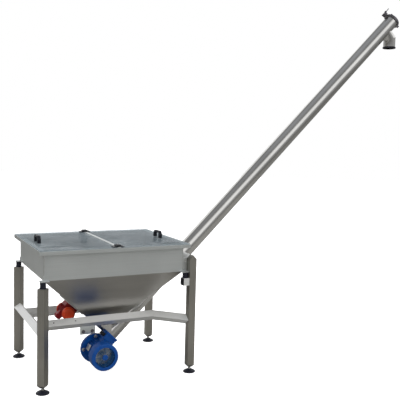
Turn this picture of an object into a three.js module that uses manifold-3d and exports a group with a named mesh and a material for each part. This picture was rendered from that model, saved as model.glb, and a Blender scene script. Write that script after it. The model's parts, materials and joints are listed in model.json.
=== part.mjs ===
// Inclined grain auger: a stainless hopper with two hinged lids stands on rubber buffers in a
// tubular frame, and a screw conveyor tube runs from below the hopper up to a discharge spout.
// Millimetres, +Z up, +X toward the discharge. The pieces are drawn from the floor at the middle
// of the four feet, and the finished group is then centred on its own length.
import * as THREE from 'three';
import { mergeVertices } from 'three/addons/utils/BufferGeometryUtils.js';
import Module from 'manifold-3d';

const wasm = await Module();
wasm.setup();

// Driving dimensions
const GAP = 0.3;
const TUBE = 50;
const TUBE_WALL = 3;
const SHEET = 3;
const EIGHTH = Math.PI / 4;

const LEG_X = 505;
const LEG_Y = 377.5;
const LEG_BOTTOM = 51;
const BOSS_BOTTOM = 36;
const SUPPORT_TOP = 662;
const CROSS_TUBE_Z = 782.6;
const RAIL_Z = 370;
const SIDE_RAIL_Y = 178;

const STEM_RADIUS = 8;
const STEM_TOP = 120;
const PAD_RADIUS = 42;
const PAD_HEIGHT = 22;

const BOX = { x0: -496, x1: 446, y: 360, z0: 703, z1: 870 };
const OUTLET = { x0: -60, x1: 50, y: 57, z: 297 };
const RIM = { x0: -532, x1: 482, y: 404, height: 24 };
const RIM_TOP = BOX.z1 + RIM.height;
const BUFFER_RADIUS = 20;
const ARM_END_X = 438;
const ARM_BUFFER_X = 458;

const BAR_X = -25;
const BAR_HALF = 11;
const LID_THICKNESS = 5;
const HINGE_Y = 372;
const HINGE_RADIUS = 6;
const HINGE_PIN = 3;
const HINGE_OFFSET = 12;
const HINGE_Z = RIM_TOP + 12.5;
const KNUCKLE_HALF = 12;
const HANDLE_Y = -50;

const AUGER_ANGLE = THREE.MathUtils.degToRad(44.6);
const DRIVE_X = -46;
const DRIVE_Z = 118;
const AUGER_RADIUS = 57.15;
const AUGER_WALL = 2.6;
const AUGER_START = 52;
const AUGER_END = 3620;
const FLIGHT_RADIUS = 50;
const FLIGHT_PITCH = 100;
const FLIGHT_START = 70;
const FLIGHT_TURNS = 34;
const FLIGHT_STEPS = 6;
const SHAFT_RADIUS = 17;
const SPOUT_AT = 3508;
const SPOUT_REACH = 98;
const SPOUT_RADIUS = 49;
const SPOUT_DROP = 78;

const FERRULE_RADIUS = 60;
const FERRULE_LENGTH = 8;
const COVER_LENGTH = 10;
const CLAMP_THICKNESS = 5;
const CLAMP_TURN = THREE.MathUtils.degToRad(154);
const CLAMP_BOLT_X = 88;
const CLAMP_LUG_TOP = 30;
const CLAMP_HINGE_X = -73;

const WORM_OFFSET = -50;
const MOTOR_FLANGE_RADIUS = 100;
const MOTOR_RADIUS = 70;
const FAN_COVER_RADIUS = 91;
const MOTOR_FRONT = -88;
const MOTOR_REAR = -252;
const FAN_COVER_END = -318;

const VIBRATOR_RADIUS = 42;
const VIBRATOR_ALONG = 373;
const VIBRATOR_STANDOFF = 58.6;

const AROUND = 20;
const AROUND_PIPE = 32;
const AROUND_SMALL = 12;
const MITRE_LAP = 0.05;

// Materials
const finish = (color, roughness, metalness) => (
  new THREE.MeshStandardMaterial({ color, roughness, metalness })
);
const STEEL = finish(0x9a9c98, 0.42, 0.9);
const DARK_STEEL = finish(0x77756d, 0.5, 0.85);
const POLISHED = finish(0xb9bbba, 0.22, 0.95);
const BLACK_RUBBER = finish(0x15161a, 0.85, 0);
const BLACK_PLASTIC = finish(0x1b1c20, 0.5, 0);
const LID_SHEET = finish(0xa9adab, 0.25, 0.8);
const MOTOR_BLUE = finish(0x14529e, 0.45, 0.1);
const VIBRATOR_RED = finish(0x8d1f22, 0.5, 0.1);
const CAP_ORANGE = finish(0xc5402a, 0.45, 0);
const BRONZE = finish(0xb08040, 0.4, 0.9);

// Solids and cuts
function solid(geometry) {
  const bare = geometry.clone();
  bare.deleteAttribute('normal');
  bare.deleteAttribute('uv');
  const merged = mergeVertices(bare, 1e-4);
  return new wasm.Manifold(new wasm.Mesh({
    numProp: 3,
    vertProperties: new Float32Array(merged.attributes.position.array),
    triVerts: new Uint32Array(merged.index.array),
  }));
}

function geometryOf(shape) {
  const mesh = shape.getMesh();
  const geometry = new THREE.BufferGeometry();
  geometry.setAttribute('position', new THREE.BufferAttribute(mesh.vertProperties, 3));
  geometry.setIndex(new THREE.BufferAttribute(mesh.triVerts, 1));
  return geometry;
}

function piece(name, shape, material) {
  const faceted = geometryOf(shape).toNonIndexed();
  faceted.computeVertexNormals();
  const mesh = new THREE.Mesh(faceted, material);
  mesh.name = name;
  return mesh;
}

function box(x0, x1, y0, y1, z0, z1) {
  const geometry = new THREE.BoxGeometry(x1 - x0, y1 - y0, z1 - z0);
  geometry.translate((x0 + x1) / 2, (y0 + y1) / 2, (z0 + z1) / 2);
  return solid(geometry);
}

function mirrored(x0, x1, y, z0, z1) {
  return box(x0, x1, -y, y, z0, z1);
}

// A round bar from z0 to z1 at (x, y)
function roundZ(radius, z0, z1, x = 0, y = 0, sides = AROUND) {
  const geometry = new THREE.CylinderGeometry(radius, radius, z1 - z0, sides);
  geometry.rotateX(Math.PI / 2);
  geometry.translate(x, y, (z0 + z1) / 2);
  return solid(geometry);
}

// A round bar along Y from y0 to y1 at (x, z)
function roundY(radius, y0, y1, x = 0, z = 0, sides = AROUND) {
  const geometry = new THREE.CylinderGeometry(radius, radius, y1 - y0, sides);
  geometry.translate(x, (y0 + y1) / 2, z);
  return solid(geometry);
}

// An outline of [x, z] points carried along Y from y0 to y1
function prismY(points, y0, y1) {
  const shape = new THREE.Shape(points.map(([x, z]) => new THREE.Vector2(x, z)));
  const geometry = new THREE.ExtrudeGeometry(shape, { depth: y1 - y0, bevelEnabled: false });
  geometry.rotateX(Math.PI / 2);
  geometry.translate(0, y1, 0);
  return solid(geometry);
}

// A four-sided funnel body between a top and a bottom rectangle
function funnel(top, bottom) {
  const geometry = new THREE.BoxGeometry(1, 1, 1);
  const position = geometry.attributes.position;
  for (let i = 0; i < position.count; i += 1) {
    const end = position.getZ(i) > 0 ? top : bottom;
    const x = position.getX(i) > 0 ? end.x1 : end.x0;
    const y = position.getY(i) > 0 ? end.y : -end.y;
    position.setXYZ(i, x, y, end.z);
  }
  return solid(geometry);
}

// A filled square bar along Z, its side grown by the gap on request
function squareBar(length, turn, side = TUBE) {
  const geometry = new THREE.BoxGeometry(side, side, length);
  geometry.rotateZ(turn);
  return solid(geometry);
}

// Everything on the side of a plane that its normal points to
function halfSpace(point, normal) {
  const size = 1000;
  const geometry = new THREE.BoxGeometry(size, size, size);
  geometry.translate(0, 0, size / 2);
  const up = new THREE.Vector3(0, 0, 1);
  geometry.applyQuaternion(new THREE.Quaternion().setFromUnitVectors(up, normal.normalize()));
  geometry.translate(point.x, point.y, point.z);
  return solid(geometry);
}

// Frame
function legBoss(turn) {
  const corner = Math.SQRT2 / 2;
  const taper = new THREE.CylinderGeometry(TUBE * corner, 24 * corner, LEG_BOTTOM - BOSS_BOTTOM, 4);
  taper.rotateX(Math.PI / 2);
  taper.rotateZ(EIGHTH + turn);
  taper.translate(0, 0, (LEG_BOTTOM + BOSS_BOTTOM) / 2);
  const plate = squareBar(6, turn).translate(0, 0, LEG_BOTTOM + 3);
  return solid(taper).add(plate);
}

function hollowLeg(outer, inner, turn) {
  const bore = roundZ(STEM_RADIUS + GAP, BOSS_BOTTOM - 1, LEG_BOTTOM + 10, 0, 0, AROUND_SMALL);
  return outer.subtract(inner).add(legBoss(turn)).subtract(bore);
}

// The left legs stand turned by 45 degrees and carry a buffer on their closed tops.
function leftLeg() {
  const height = SUPPORT_TOP - LEG_BOTTOM;
  const outer = squareBar(height, EIGHTH).translate(0, 0, LEG_BOTTOM + height / 2);
  const hollow = height - TUBE_WALL - 5;
  const inner = squareBar(hollow, EIGHTH, TUBE - 2 * TUBE_WALL)
    .translate(0, 0, LEG_BOTTOM + 5 + hollow / 2);
  return hollowLeg(outer, inner, EIGHTH);
}

// The right legs end in a gable that follows the cross tube between them.
function rightLeg() {
  const half = TUBE / 2;
  const peak = CROSS_TUBE_Z + TUBE * Math.SQRT1_2;
  const gable = (side, base, top) => [
    [-side, base], [side, base], [side, top - side], [0, top], [-side, top - side],
  ];
  const outer = prismY(gable(half, LEG_BOTTOM, peak), -half, half);
  const bore = half - TUBE_WALL;
  const inner = prismY(gable(bore, LEG_BOTTOM + 5, peak - TUBE_WALL * Math.SQRT2), -bore, bore);
  return hollowLeg(outer, inner, 0);
}

function legPrism(x, y) {
  const turn = x < 0 ? EIGHTH : 0;
  return squareBar(2000, turn, TUBE + 2 * GAP).translate(x, y, 1000);
}

function tubeBetween(start, end, grow = 0) {
  const path = new THREE.Vector3().subVectors(end, start);
  const make = (side, extra) => {
    const geometry = new THREE.BoxGeometry(side, side, path.length() + extra);
    geometry.rotateZ(EIGHTH);
    geometry.rotateY(Math.PI / 2);
    geometry.rotateZ(Math.atan2(path.y, path.x));
    geometry.translate((start.x + end.x) / 2, (start.y + end.y) / 2, (start.z + end.z) / 2);
    return solid(geometry);
  };
  if (grow > 0) return make(TUBE + 2 * grow, 0);
  return make(TUBE, 0).subtract(make(TUBE - 2 * TUBE_WALL, 2));
}

function leftRailPoints() {
  return [new THREE.Vector3(-LEG_X, -LEG_Y, RAIL_Z), new THREE.Vector3(-LEG_X, LEG_Y, RAIL_Z)];
}

function leftRail() {
  const [start, end] = leftRailPoints();
  return tubeBetween(start, end).subtract(legPrism(-LEG_X, -LEG_Y)).subtract(legPrism(-LEG_X, LEG_Y));
}

// One side rail: a run along X and a mitred corner run out to the right leg.
function sideRail(side) {
  const y = side * SIDE_RAIL_Y;
  const corner = new THREE.Vector3(LEG_X - (LEG_Y - SIDE_RAIL_Y), y, RAIL_Z);
  const start = new THREE.Vector3(-LEG_X, y, RAIL_Z);
  const end = new THREE.Vector3(LEG_X, side * LEG_Y, RAIL_Z);
  const along = new THREE.Vector3(1, 0, 0);
  const outward = new THREE.Vector3().subVectors(end, corner).normalize();
  const mitre = new THREE.Vector3().addVectors(along, outward);
  const beyond = corner.clone().addScaledVector(along, TUBE);
  const before = corner.clone().addScaledVector(outward, -TUBE);
  const run = tubeBetween(start, beyond).subtract(halfSpace(corner, mitre.clone()));
  const turned = tubeBetween(before, end).subtract(halfSpace(corner, mitre.clone().negate()));
  const [railStart, railEnd] = leftRailPoints();
  return run.add(turned)
    .subtract(tubeBetween(railStart, railEnd, GAP))
    .subtract(legPrism(LEG_X, side * LEG_Y));
}

function crossTube() {
  const reach = LEG_Y - TUBE / 2 - GAP;
  return tubeBetween(
    new THREE.Vector3(LEG_X, -reach, CROSS_TUBE_Z),
    new THREE.Vector3(LEG_X, reach, CROSS_TUBE_Z),
  );
}

function bufferArm(side) {
  const y = side * LEG_Y;
  const half = TUBE / 2;
  const bore = half - TUBE_WALL;
  const z = SUPPORT_TOP - half;
  const outer = box(ARM_END_X, LEG_X - half - GAP, y - half, y + half, z - half, z + half);
  return outer.subtract(box(ARM_END_X - 1, LEG_X, y - bore, y + bore, z - bore, z + bore));
}

function frame() {
  const group = new THREE.Group();
  const place = (name, shape, x, y, material = DARK_STEEL) => {
    const mesh = piece(name, shape, material);
    mesh.position.set(x, y, 0);
    group.add(mesh);
  };
  place('leg_front_left', leftLeg(), -LEG_X, -LEG_Y);
  place('leg_back_left', leftLeg(), -LEG_X, LEG_Y);
  place('leg_front_right', rightLeg(), LEG_X, -LEG_Y);
  place('leg_back_right', rightLeg(), LEG_X, LEG_Y);
  group.add(piece('top_cross_tube', crossTube(), STEEL));
  group.add(piece('left_rail', leftRail(), STEEL));
  group.add(piece('side_rail_front', sideRail(-1), STEEL));
  group.add(piece('side_rail_back', sideRail(1), STEEL));
  group.add(piece('buffer_arm_front', bufferArm(-1), STEEL));
  group.add(piece('buffer_arm_back', bufferArm(1), STEEL));
  return group;
}

// Feet
function footStem() {
  const rod = roundZ(STEM_RADIUS, PAD_HEIGHT - 8, STEM_TOP, 0, 0, AROUND_SMALL);
  const hexagon = roundZ(13.5, PAD_HEIGHT + 2, PAD_HEIGHT + 10, 0, 0, 6);
  return rod.add(hexagon);
}

function footPad() {
  const profile = [
    [0, 0], [PAD_RADIUS, 0], [PAD_RADIUS, 6], [18, 19], [15, PAD_HEIGHT], [0, PAD_HEIGHT],
  ].map(([r, z]) => new THREE.Vector2(r, z));
  const geometry = new THREE.LatheGeometry(profile, AROUND);
  geometry.rotateX(Math.PI / 2);
  const socket = roundZ(STEM_RADIUS + GAP, PAD_HEIGHT - 8 - GAP, PAD_HEIGHT + 1, 0, 0, AROUND_SMALL);
  return solid(geometry).subtract(socket);
}

function feet() {
  const group = new THREE.Group();
  for (const [end, y] of [['front', -LEG_Y], ['back', LEG_Y]]) {
    for (const [side, x] of [['left', -LEG_X], ['right', LEG_X]]) {
      const foot = new THREE.Group();
      foot.add(piece(`foot_stem_${end}_${side}`, footStem(), POLISHED));
      foot.add(piece(`foot_pad_${end}_${side}`, footPad(), BLACK_RUBBER));
      foot.position.set(x, y, 0);
      group.add(foot);
    }
  }
  return group;
}

// Buffers and the hopper's own corner brackets
function leftBracket(side) {
  const grown = mirrored(BOX.x0 - GAP, BOX.x1, BOX.y + GAP, BOX.z0 - 5, BOX.z1);
  const span = (a, b) => (side < 0 ? [-b, -a] : [a, b]);
  const [y0, y1] = span(345, 396);
  const [w0, w1] = span(BOX.y, BOX.y + GAP + 4);
  const ledge = box(-524, -468, y0, y1, BOX.z0, BOX.z0 + 4);
  const flange = box(BOX.x0 - GAP - 4, -468, w0, w1, BOX.z0, BOX.z0 + 34);
  return ledge.add(flange).subtract(grown);
}

function rightBracket(side) {
  const grown = mirrored(BOX.x0, BOX.x1 + GAP, BOX.y + GAP, BOX.z0 - 5, BOX.z1);
  const span = (a, b) => (side < 0 ? [-b, -a] : [a, b]);
  const [y0, y1] = span(345, 401);
  const [p0, p1] = span(354, 358);
  const [w0, w1] = span(300, 358);
  const edge = LEG_X - TUBE / 2 - 2;
  const ledge = box(424, edge, y0, y1, BOX.z0, BOX.z0 + 4);
  const plate = box(BOX.x1, edge, p0, p1, BOX.z0, BOX.z0 + 94);
  const flange = box(BOX.x1, BOX.x1 + GAP + 4, w0, w1, BOX.z0, BOX.z0 + 50);
  const [h0, h1] = span(340, 370);
  const hole = roundY(7, h0, h1, BOX.x1 + 20, BOX.z0 + 72, 12);
  return ledge.add(plate).add(flange).subtract(grown).subtract(hole);
}

function hopperSupports() {
  const group = new THREE.Group();
  for (const [end, side] of [['front', -1], ['back', 1]]) {
    for (const [hand, x] of [['left', -LEG_X], ['right', ARM_BUFFER_X]]) {
      const buffer = roundZ(BUFFER_RADIUS, SUPPORT_TOP + GAP, BOX.z0 - GAP);
      const mesh = piece(`buffer_${end}_${hand}`, buffer, BLACK_RUBBER);
      mesh.position.set(x, side * LEG_Y, 0);
      group.add(mesh);
    }
    group.add(piece(`hopper_bracket_${end}_left`, leftBracket(side), STEEL));
    group.add(piece(`hopper_bracket_${end}_right`, rightBracket(side), STEEL));
  }
  return group;
}

// Hopper
function hopperBox() {
  const inside = mirrored(BOX.x0 + SHEET, BOX.x1 - SHEET, BOX.y - SHEET, BOX.z0 - 1, BOX.z1 + 1);
  return mirrored(BOX.x0, BOX.x1, BOX.y, BOX.z0, BOX.z1 - GAP).subtract(inside);
}

function hopperCone() {
  const rectangle = (t, inset) => ({
    x0: THREE.MathUtils.lerp(OUTLET.x0, BOX.x0, t) + inset,
    x1: THREE.MathUtils.lerp(OUTLET.x1, BOX.x1, t) - inset,
    y: THREE.MathUtils.lerp(OUTLET.y, BOX.y, t) - inset,
    z: THREE.MathUtils.lerp(OUTLET.z, BOX.z0 - GAP, t),
  });
  const over = 0.01;
  const inside = funnel(rectangle(1 + over, SHEET + 1), rectangle(-over, SHEET + 1));
  return funnel(rectangle(1, 0), rectangle(0, 0)).subtract(inside);
}

// A folded channel frame round the hopper's mouth
function rimFrame() {
  const flange = SHEET + 3;
  const outer = mirrored(RIM.x0, RIM.x1, RIM.y, BOX.z1, RIM_TOP);
  const mouth = mirrored(BOX.x0 + SHEET, BOX.x1 - SHEET, BOX.y - SHEET, BOX.z1 - 1, RIM_TOP + 1);
  const under = RIM_TOP - SHEET;
  const hollow = mirrored(RIM.x0 + SHEET, RIM.x1 - SHEET, RIM.y - SHEET, BOX.z1 - 1, under)
    .subtract(mirrored(
      BOX.x0 + SHEET - flange, BOX.x1 - SHEET + flange, BOX.y - SHEET + flange, 0, RIM_TOP,
    ));
  return outer.subtract(mouth).subtract(hollow);
}

function centreBar() {
  return mirrored(BAR_X - BAR_HALF, BAR_X + BAR_HALF, RIM.y, RIM_TOP + GAP, RIM_TOP + 6);
}

// The fixed hinge block: a base on the bar, four lugs and the two pins through them
function hingeBlock() {
  const base = RIM_TOP + 6 + GAP;
  let block = box(-5, 5, -24, 24, base, base + 12);
  for (const side of [-1, 1]) {
    const x = side * HINGE_OFFSET;
    for (const y of [-18.5, 18.5]) {
      const [web0, web1] = side < 0 ? [x, 0] : [0, x];
      block = block.add(roundY(HINGE_RADIUS, y - 5.5, y + 5.5, x, HINGE_Z, AROUND_SMALL));
      block = block.add(box(web0, web1, y - 5.5, y + 5.5, base + GAP, base + 8));
    }
    block = block.add(roundY(HINGE_PIN, -22, 22, x, HINGE_Z, 8));
  }
  return block;
}

// A lid panel with its two hinge leaves; side is -1 for the left lid
function lid(side) {
  const inner = BAR_X + side * (BAR_HALF + 1);
  const outer = side < 0 ? RIM.x0 + 2 : RIM.x1 - 2;
  const bottom = RIM_TOP + GAP;
  const top = bottom + LID_THICKNESS;
  const [x0, x1] = side < 0 ? [outer, inner] : [inner, outer];
  let panel = mirrored(x0, x1, RIM.y - 2, bottom, top);
  const axisX = BAR_X + side * HINGE_OFFSET;
  const between = (a, b) => (a < b ? [a, b] : [b, a]);
  for (const y of [-HINGE_Y, HINGE_Y]) {
    const [leaf0, leaf1] = between(axisX + side * 8, axisX + side * 27);
    const [web0, web1] = between(axisX, axisX + side * 9);
    const knuckle = roundY(HINGE_RADIUS, y - KNUCKLE_HALF, y + KNUCKLE_HALF, axisX, HINGE_Z, AROUND_SMALL);
    const web = box(web0, web1, y - KNUCKLE_HALF, y + KNUCKLE_HALF, HINGE_Z - 5, HINGE_Z);
    const step = box(leaf0, leaf0 + 6, y - KNUCKLE_HALF, y + KNUCKLE_HALF, top - 1, HINGE_Z);
    const rise = side < 0 ? step.translate(leaf1 - leaf0 - 6, 0, 0) : step;
    const bore = roundY(HINGE_PIN + 2 * GAP, y - 30, y + 30, axisX, HINGE_Z, 8);
    panel = panel.add(box(leaf0, leaf1, y - 24, y + 24, top - 1, top + 4));
    panel = panel.add(knuckle).add(web).add(rise).subtract(bore);
  }
  return panel;
}

function handle() {
  const shape = new THREE.Shape([
    [-58, 0], [-34, 0], [-34, 34], [34, 34], [34, 0], [58, 0], [58, 26], [40, 48], [-40, 48],
    [-58, 26],
  ].map(([y, z]) => new THREE.Vector2(y, z)));
  const geometry = new THREE.ExtrudeGeometry(shape, { depth: 22, bevelEnabled: false });
  geometry.rotateX(Math.PI / 2);
  geometry.rotateZ(Math.PI / 2);
  geometry.translate(-11, 0, 0);
  return solid(geometry);
}

function hopper() {
  const group = new THREE.Group();
  group.add(piece('hopper_box', hopperBox(), STEEL));
  group.add(piece('hopper_cone', hopperCone(), STEEL));
  group.add(piece('rim_frame', rimFrame(), STEEL));
  group.add(piece('centre_bar', centreBar(), STEEL));
  group.add(piece('lid_left', lid(-1), LID_SHEET));
  group.add(piece('lid_right', lid(1), LID_SHEET));
  for (const [end, side] of [['front', -1], ['back', 1]]) {
    const block = piece(`hinge_block_${end}`, hingeBlock(), BLACK_PLASTIC);
    block.position.set(BAR_X, side * HINGE_Y, 0);
    group.add(block);
  }
  for (const [hand, x] of [['left', -468], ['right', 388]]) {
    const grip = piece(`lid_handle_${hand}`, handle(), BLACK_PLASTIC);
    grip.position.set(x, HANDLE_Y, RIM_TOP + LID_THICKNESS + 2 * GAP);
    group.add(grip);
  }
  return group;
}

// Conveyor, in its own frame: Z up the tube from the gearbox, X down and away from the hopper
function inConveyor([x, z]) {
  const dx = x - DRIVE_X;
  const dz = z - DRIVE_Z;
  const s = Math.sin(AUGER_ANGLE);
  const c = Math.cos(AUGER_ANGLE);
  return [dx * s - dz * c, dx * c + dz * s];
}

function conveyorTube() {
  const inner = AUGER_RADIUS - AUGER_WALL;
  const top = OUTLET.z - GAP;
  const chuteOutline = (wall, rise) => [
    [OUTLET.x0 + wall - rise, top + rise], [OUTLET.x1 - wall, top + rise],
    [OUTLET.x1 - wall, top - 90], [OUTLET.x0 + 90, top - 90 + wall],
  ].map(inConveyor);
  const chute = prismY(chuteOutline(0, 0), -OUTLET.y + 2, OUTLET.y - 2);
  const chuteBore = prismY(chuteOutline(SHEET, 1), -OUTLET.y + 5, OUTLET.y - 5);
  const pipe = roundZ(AUGER_RADIUS, AUGER_START, AUGER_END, 0, 0, AROUND_PIPE);
  const foot = roundZ(72, AUGER_START, AUGER_START + 8, 0, 0, AROUND_PIPE);
  const ferrule = roundZ(FERRULE_RADIUS, AUGER_END - FERRULE_LENGTH, AUGER_END, 0, 0, AROUND_PIPE);
  const bore = roundZ(inner, AUGER_START - 1, AUGER_END + 1, 0, 0, AROUND_PIPE);
  const outlet = roundX(SPOUT_RADIUS - 3, 20, 90, SPOUT_AT);
  return pipe.add(chute).add(foot).add(ferrule).subtract(bore).subtract(chuteBore).subtract(outlet);
}

// A round bar along X from x0 to x1 at height z
function roundX(radius, x0, x1, z, sides = 24) {
  const geometry = new THREE.CylinderGeometry(radius, radius, x1 - x0, sides);
  geometry.rotateZ(Math.PI / 2);
  geometry.translate((x0 + x1) / 2, 0, z);
  return solid(geometry);
}

// The discharge elbow: a stub square to the tube, mitred into a drop that hangs plumb
function elbow(radius, start, drop) {
  const bend = new THREE.Vector3(SPOUT_REACH, 0, SPOUT_AT);
  const down = new THREE.Vector3(Math.cos(AUGER_ANGLE), 0, -Math.sin(AUGER_ANGLE));
  const mitre = new THREE.Vector3(1, 0, 0).add(down);
  const lap = mitre.clone().multiplyScalar(MITRE_LAP);
  const stub = roundX(radius, start, SPOUT_REACH + 60, SPOUT_AT)
    .subtract(halfSpace(bend.clone().add(lap), mitre.clone()));
  const geometry = new THREE.CylinderGeometry(radius, radius, drop + 60, 24);
  geometry.rotateX(Math.PI / 2);
  geometry.translate(0, 0, (drop - 60) / 2);
  geometry.applyQuaternion(
    new THREE.Quaternion().setFromUnitVectors(new THREE.Vector3(0, 0, 1), down),
  );
  geometry.translate(bend.x, 0, bend.z);
  const fall = solid(geometry)
    .subtract(halfSpace(bend.clone().sub(lap), mitre.clone().negate()));
  return stub.add(fall);
}

function spout() {
  const clear = roundZ(AUGER_RADIUS + GAP, SPOUT_AT - 200, SPOUT_AT + 200, 0, 0, AROUND_PIPE);
  return elbow(SPOUT_RADIUS, 20, SPOUT_DROP)
    .subtract(elbow(SPOUT_RADIUS - 3, 0, SPOUT_DROP + 5))
    .subtract(clear);
}

function spoutLip() {
  const profile = [
    [SPOUT_RADIUS + GAP, 0], [SPOUT_RADIUS + 5, 0], [SPOUT_RADIUS + 5, 12],
    [SPOUT_RADIUS - 3, 12], [SPOUT_RADIUS - 3, 9 + GAP], [SPOUT_RADIUS + GAP, 9 + GAP],
    [SPOUT_RADIUS + GAP, 0],
  ].map(([r, z]) => new THREE.Vector2(r, z));
  const geometry = new THREE.LatheGeometry(profile, 24);
  geometry.rotateX(-Math.PI / 2);
  return solid(geometry);
}

function tubeSaddle() {
  const face = 60.4;
  const middle = 859;
  const ring = roundZ(face, middle - 22, middle + 22, 0, 0, AROUND_PIPE)
    .add(box(-face, -face + 2.9, -76, 76, middle - 22, middle + 22))
    .add(box(-face, -face + 26, -76, -58, middle - 4, middle + 4))
    .add(box(-face, -face + 26, 58, 76, middle - 4, middle + 4));
  return ring.subtract(roundZ(AUGER_RADIUS + GAP, middle - 30, middle + 30, 0, 0, AROUND_PIPE));
}

function augerShaft() {
  return roundZ(SHAFT_RADIUS, -44, AUGER_END - 30, 0, 0, AROUND_SMALL)
    .add(roundZ(12, AUGER_END - 32, AUGER_END - 4, 0, 0, AROUND_SMALL));
}

// A flat ribbon wound round the shaft, one box twisted evenly along its length
function augerFlight() {
  const length = FLIGHT_PITCH * FLIGHT_TURNS;
  const steps = FLIGHT_TURNS * FLIGHT_STEPS;
  const root = (SHAFT_RADIUS + GAP) / Math.cos(Math.PI / FLIGHT_STEPS);
  const geometry = new THREE.BoxGeometry(FLIGHT_RADIUS - root, 4, length, 1, 1, steps);
  geometry.translate((FLIGHT_RADIUS + root) / 2, 0, length / 2);
  const position = geometry.attributes.position;
  for (let i = 0; i < position.count; i += 1) {
    const turn = position.getZ(i) / FLIGHT_PITCH * 2 * Math.PI;
    const rise = -position.getY(i);
    const radius = position.getX(i);
    position.setXYZ(
      i, radius * Math.cos(turn), radius * Math.sin(turn), FLIGHT_START + position.getZ(i) + rise,
    );
  }
  return solid(geometry);
}

function endCover() {
  const base = AUGER_END + GAP;
  const bushSeat = roundZ(19, AUGER_END - 40, base + 3);
  return roundZ(FERRULE_RADIUS, base, base + COVER_LENGTH, 0, 0, AROUND_PIPE)
    .add(roundZ(26, AUGER_END - 30, base + 2))
    .subtract(bushSeat)
    .add(roundZ(18, base + 6, base + 36))
    .add(roundZ(6, base + 6, base + 42, -40, 0, 12));
}

function topBush() {
  return roundZ(19 - 2 * GAP, AUGER_END - 30, AUGER_END)
    .subtract(roundZ(12 + 2 * GAP, AUGER_END - 31, AUGER_END + 1, 0, 0, AROUND_SMALL));
}

// One half of the band clamp round the cover, on the +Y side before it is turned into place
function clampHalf(side) {
  const inner = FERRULE_RADIUS + 0.5;
  const outer = inner + CLAMP_THICKNESS;
  const z0 = AUGER_END - FERRULE_LENGTH - 1;
  const z1 = AUGER_END + COVER_LENGTH + 1;
  const keep = side > 0 ? box(-120, 120, 1, 120, z0, z1) : box(-120, 120, -120, -1, z0, z1);
  const middle = (z0 + z1) / 2;
  const lug = side > 0
    ? box(outer - 2, CLAMP_BOLT_X + 3, 2, CLAMP_LUG_TOP, z0, z1)
    : box(outer - 2, CLAMP_BOLT_X + 8, -14, -2, z0, z1);
  const slot = box(CLAMP_BOLT_X - 5, CLAMP_BOLT_X + 20, -20, 40, middle - 5, middle + 5);
  return roundZ(outer, z0, z1, 0, 0, AROUND_PIPE)
    .subtract(roundZ(inner, z0 - 1, z1 + 1, 0, 0, AROUND_PIPE))
    .intersect(keep)
    .add(lug)
    .subtract(slot)
    .add(clampKnuckle(side, z0, z1));
}

// The lower half carries the pin between two end knuckles, the upper half turns on it.
function clampKnuckle(side, z0, z1) {
  const reach = side > 0 ? 1 : -1;
  const web = (a, b) => box(
    CLAMP_HINGE_X, -FERRULE_RADIUS - 2, Math.min(reach, reach * 7), Math.max(reach, reach * 7), a, b,
  );
  if (side > 0) {
    return roundZ(5, z0 + 6, z1 - 6, CLAMP_HINGE_X, 0, 12)
      .add(web(z0 + 6, z1 - 6))
      .subtract(roundZ(2.5 + GAP, z0, z1, CLAMP_HINGE_X, 0, 12));
  }
  return roundZ(5, z0, z0 + 5.5, CLAMP_HINGE_X, 0, 12)
    .add(roundZ(5, z1 - 5.5, z1, CLAMP_HINGE_X, 0, 12))
    .add(web(z0, z0 + 5.5))
    .add(web(z1 - 5.5, z1))
    .add(roundZ(2.5, z0, z1, CLAMP_HINGE_X, 0, 12));
}

function clampBolt() {
  const middle = AUGER_END + (COVER_LENGTH - FERRULE_LENGTH) / 2;
  return roundY(4, -12, CLAMP_LUG_TOP + 34, CLAMP_BOLT_X, middle, 12)
    .add(roundZ(4.6, middle - 4.6, middle + 4.6, CLAMP_BOLT_X, -9, 12));
}

function wingNut() {
  const middle = AUGER_END + (COVER_LENGTH - FERRULE_LENGTH) / 2;
  const seat = CLAMP_LUG_TOP + 2 * GAP;
  const hub = roundY(9, seat, seat + 16, CLAMP_BOLT_X, middle, AROUND_SMALL);
  const wings = box(
    CLAMP_BOLT_X - 3, CLAMP_BOLT_X + 3, seat + 9, seat + 27, middle - 33, middle + 33,
  ).subtract(box(CLAMP_BOLT_X - 9, CLAMP_BOLT_X + 9, seat + 16, 80, middle - 15, middle + 15));
  return hub.add(wings).subtract(roundY(4 + GAP, 0, 90, CLAMP_BOLT_X, middle, 12));
}

// Drive, in the conveyor's frame: the worm and the motor lie along Y beside the screw's shaft
function gearbox() {
  const housing = roundZ(56, -38, 38)
    .add(roundY(36, MOTOR_FRONT + 2, 52, WORM_OFFSET, 0))
    .add(box(-50, 46, -54, 54, -32, 32))
    .add(roundZ(44, 36, AUGER_START - GAP))
    .add(roundY(MOTOR_FLANGE_RADIUS, MOTOR_FRONT, MOTOR_FRONT + 12, WORM_OFFSET, 0, AROUND_PIPE));
  const wheelRoom = roundZ(38.5, -18, 18);
  const turningRoom = (SHAFT_RADIUS + GAP) / Math.cos(Math.PI / AROUND_SMALL);
  const shaftBore = roundZ(turningRoom, -60, AUGER_START + 5, 0, 0, AROUND_SMALL);
  const wormBore = roundY(15, MOTOR_FRONT - 1, 44, WORM_OFFSET, 0, 20);
  return housing.subtract(wheelRoom).subtract(shaftBore).subtract(wormBore);
}

function wormWheel() {
  const teeth = 30;
  const outline = [];
  for (let i = 0; i < teeth * 2; i += 1) {
    const radius = i % 2 === 0 ? 35 : 32.5;
    const turn = i / (teeth * 2) * 2 * Math.PI;
    outline.push(new THREE.Vector2(radius * Math.cos(turn), radius * Math.sin(turn)));
  }
  const geometry = new THREE.ExtrudeGeometry(
    new THREE.Shape(outline), { depth: 28, bevelEnabled: false },
  );
  geometry.translate(0, 0, -14);
  return solid(geometry).subtract(roundZ(SHAFT_RADIUS + GAP, -20, 20, 0, 0, AROUND_SMALL));
}

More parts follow.
